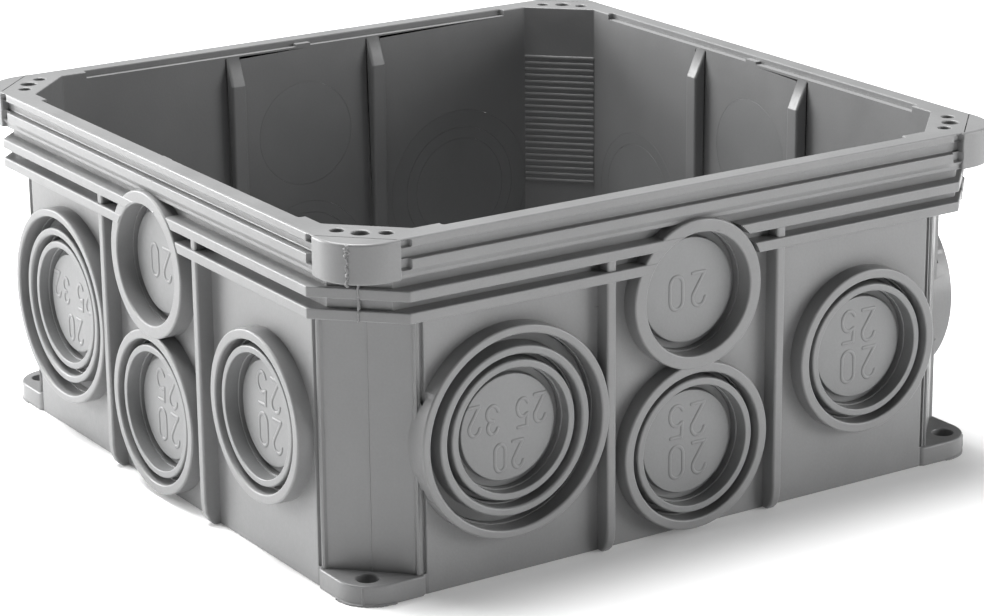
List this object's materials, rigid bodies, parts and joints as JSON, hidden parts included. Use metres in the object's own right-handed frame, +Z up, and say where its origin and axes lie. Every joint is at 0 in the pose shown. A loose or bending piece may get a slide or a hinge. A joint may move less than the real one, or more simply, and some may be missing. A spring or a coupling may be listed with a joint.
{
  "type": "electrical junction box",
  "caption": "Square open flush-mount electrical box with corner feet, ribbed mouth band and collared conduit entries closed by concentric slide-out break-outs.",
  "frame": {"origin": "centre of the base on the plane it rests on, midway between opposite walls", "axes": "+Z up out of the open mouth, -Y out of the front wall, +X out of the right-hand wall"},
  "size_m": [0.1328, 0.1328, 0.06],
  "materials": {
    "body_grey": "fine matte moulded surface",
    "breakout_grey": "fine matte moulded surface"
  },
  "bodies": {
    "box": {"box_body": "body_grey"},
    "front_triple_ring32": {"front_triple_ring32": "breakout_grey"},
    "front_triple_ring25": {"front_triple_ring25": "breakout_grey"},
    "front_triple_disc20": {"front_triple_disc20": "breakout_grey"},
    "front_upper_disc20": {"front_upper_disc20": "breakout_grey"},
    "front_lower_ring25": {"front_lower_ring25": "breakout_grey"},
    "front_lower_disc20": {"front_lower_disc20": "breakout_grey"},
    "front_side_ring25": {"front_side_ring25": "breakout_grey"},
    "front_side_disc20": {"front_side_disc20": "breakout_grey"},
    "right_triple_ring32": {"right_triple_ring32": "breakout_grey"},
    "right_triple_ring25": {"right_triple_ring25": "breakout_grey"},
    "right_triple_disc20": {"right_triple_disc20": "breakout_grey"},
    "right_upper_disc20": {"right_upper_disc20": "breakout_grey"},
    "right_lower_ring25": {"right_lower_ring25": "breakout_grey"},
    "right_lower_disc20": {"right_lower_disc20": "breakout_grey"},
    "right_side_ring25": {"right_side_ring25": "breakout_grey"},
    "right_side_disc20": {"right_side_disc20": "breakout_grey"},
    "back_triple_ring32": {"back_triple_ring32": "breakout_grey"},
    "back_triple_ring25": {"back_triple_ring25": "breakout_grey"},
    "back_triple_disc20": {"back_triple_disc20": "breakout_grey"},
    "back_upper_disc20": {"back_upper_disc20": "breakout_grey"},
    "back_lower_ring25": {"back_lower_ring25": "breakout_grey"},
    "back_lower_disc20": {"back_lower_disc20": "breakout_grey"},
    "back_side_ring25": {"back_side_ring25": "breakout_grey"},
    "back_side_disc20": {"back_side_disc20": "breakout_grey"},
    "left_triple_ring32": {"left_triple_ring32": "breakout_grey"},
    "left_triple_ring25": {"left_triple_ring25": "breakout_grey"},
    "left_triple_disc20": {"left_triple_disc20": "breakout_grey"},
    "left_upper_disc20": {"left_upper_disc20": "breakout_grey"},
    "left_lower_ring25": {"left_lower_ring25": "breakout_grey"},
    "left_lower_disc20": {"left_lower_disc20": "breakout_grey"},
    "left_side_ring25": {"left_side_ring25": "breakout_grey"},
    "left_side_disc20": {"left_side_disc20": "breakout_grey"}
  },
  "joints": [
    {"name": "front_triple_ring32_out", "type": "slide", "parent": "box", "child": "front_triple_ring32", "axis": [0, -1, 0], "range_m": [0, 0.01]},
    {"name": "front_triple_ring25_out", "type": "slide", "parent": "front_triple_ring32", "child": "front_triple_ring25", "axis": [0, -1, 0], "range_m": [0, 0.01]},
    {"name": "front_triple_disc20_out", "type": "slide", "parent": "front_triple_ring25", "child": "front_triple_disc20", "axis": [0, -1, 0], "range_m": [0, 0.01]},
    {"name": "front_upper_disc20_out", "type": "slide", "parent": "box", "child": "front_upper_disc20", "axis": [0, -1, 0], "range_m": [0, 0.01]},
    {"name": "front_lower_ring25_out", "type": "slide", "parent": "box", "child": "front_lower_ring25", "axis": [0, -1, 0], "range_m": [0, 0.01]},
    {"name": "front_lower_disc20_out", "type": "slide", "parent": "front_lower_ring25", "child": "front_lower_disc20", "axis": [0, -1, 0], "range_m": [0, 0.01]},
    {"name": "front_side_ring25_out", "type": "slide", "parent": "box", "child": "front_side_ring25", "axis": [0, -1, 0], "range_m": [0, 0.01]},
    {"name": "front_side_disc20_out", "type": "slide", "parent": "front_side_ring25", "child": "front_side_disc20", "axis": [0, -1, 0], "range_m": [0, 0.01]},
    {"name": "right_triple_ring32_out", "type": "slide", "parent": "box", "child": "right_triple_ring32", "axis": [1, 0, 0], "range_m": [0, 0.01]},
    {"name": "right_triple_ring25_out", "type": "slide", "parent": "right_triple_ring32", "child": "right_triple_ring25", "axis": [1, 0, 0], "range_m": [0, 0.01]},
    {"name": "right_triple_disc20_out", "type": "slide", "parent": "right_triple_ring25", "child": "right_triple_disc20", "axis": [1, 0, 0], "range_m": [0, 0.01]},
    {"name": "right_upper_disc20_out", "type": "slide", "parent": "box", "child": "right_upper_disc20", "axis": [1, 0, 0], "range_m": [0, 0.01]},
    {"name": "right_lower_ring25_out", "type": "slide", "parent": "box", "child": "right_lower_ring25", "axis": [1, 0, 0], "range_m": [0, 0.01]},
    {"name": "right_lower_disc20_out", "type": "slide", "parent": "right_lower_ring25", "child": "right_lower_disc20", "axis": [1, 0, 0], "range_m": [0, 0.01]},
    {"name": "right_side_ring25_out", "type": "slide", "parent": "box", "child": "right_side_ring25", "axis": [1, 0, 0], "range_m": [0, 0.01]},
    {"name": "right_side_disc20_out", "type": "slide", "parent": "right_side_ring25", "child": "right_side_disc20", "axis": [1, 0, 0], "range_m": [0, 0.01]},
    {"name": "back_triple_ring32_out", "type": "slide", "parent": "box", "child": "back_triple_ring32", "axis": [0, 1, 0], "range_m": [0, 0.01]},
    {"name": "back_triple_ring25_out", "type": "slide", "parent": "back_triple_ring32", "child": "back_triple_ring25", "axis": [0, 1, 0], "range_m": [0, 0.01]},
    {"name": "back_triple_disc20_out", "type": "slide", "parent": "back_triple_ring25", "child": "back_triple_disc20", "axis": [0, 1, 0], "range_m": [0, 0.01]},
    {"name": "back_upper_disc20_out", "type": "slide", "parent": "box", "child": "back_upper_disc20", "axis": [0, 1, 0], "range_m": [0, 0.01]},
    {"name": "back_lower_ring25_out", "type": "slide", "parent": "box", "child": "back_lower_ring25", "axis": [0, 1, 0], "range_m": [0, 0.01]},
    {"name": "back_lower_disc20_out", "type": "slide", "parent": "back_lower_ring25", "child": "back_lower_disc20", "axis": [0, 1, 0], "range_m": [0, 0.01]},
    {"name": "back_side_ring25_out", "type": "slide", "parent": "box", "child": "back_side_ring25", "axis": [0, 1, 0], "range_m": [0, 0.01]},
    {"name": "back_side_disc20_out", "type": "slide", "parent": "back_side_ring25", "child": "back_side_disc20", "axis": [0, 1, 0], "range_m": [0, 0.01]},
    {"name": "left_triple_ring32_out", "type": "slide", "parent": "box", "child": "left_triple_ring32", "axis": [-1, 0, 0], "range_m": [0, 0.01]},
    {"name": "left_triple_ring25_out", "type": "slide", "parent": "left_triple_ring32", "child": "left_triple_ring25", "axis": [-1, 0, 0], "range_m": [0, 0.01]},
    {"name": "left_triple_disc20_out", "type": "slide", "parent": "left_triple_ring25", "child": "left_triple_disc20", "axis": [-1, 0, 0], "range_m": [0, 0.01]},
    {"name": "left_upper_disc20_out", "type": "slide", "parent": "box", "child": "left_upper_disc20", "axis": [-1, 0, 0], "range_m": [0, 0.01]},
    {"name": "left_lower_ring25_out", "type": "slide", "parent": "box", "child": "left_lower_ring25", "axis": [-1, 0, 0], "range_m": [0, 0.01]},
    {"name": "left_lower_disc20_out", "type": "slide", "parent": "left_lower_ring25", "child": "left_lower_disc20", "axis": [-1, 0, 0], "range_m": [0, 0.01]},
    {"name": "left_side_ring25_out", "type": "slide", "parent": "box", "child": "left_side_ring25", "axis": [-1, 0, 0], "range_m": [0, 0.01]},
    {"name": "left_side_disc20_out", "type": "slide", "parent": "left_side_ring25", "child": "left_side_disc20", "axis": [-1, 0, 0], "range_m": [0, 0.01]}
  ]
}
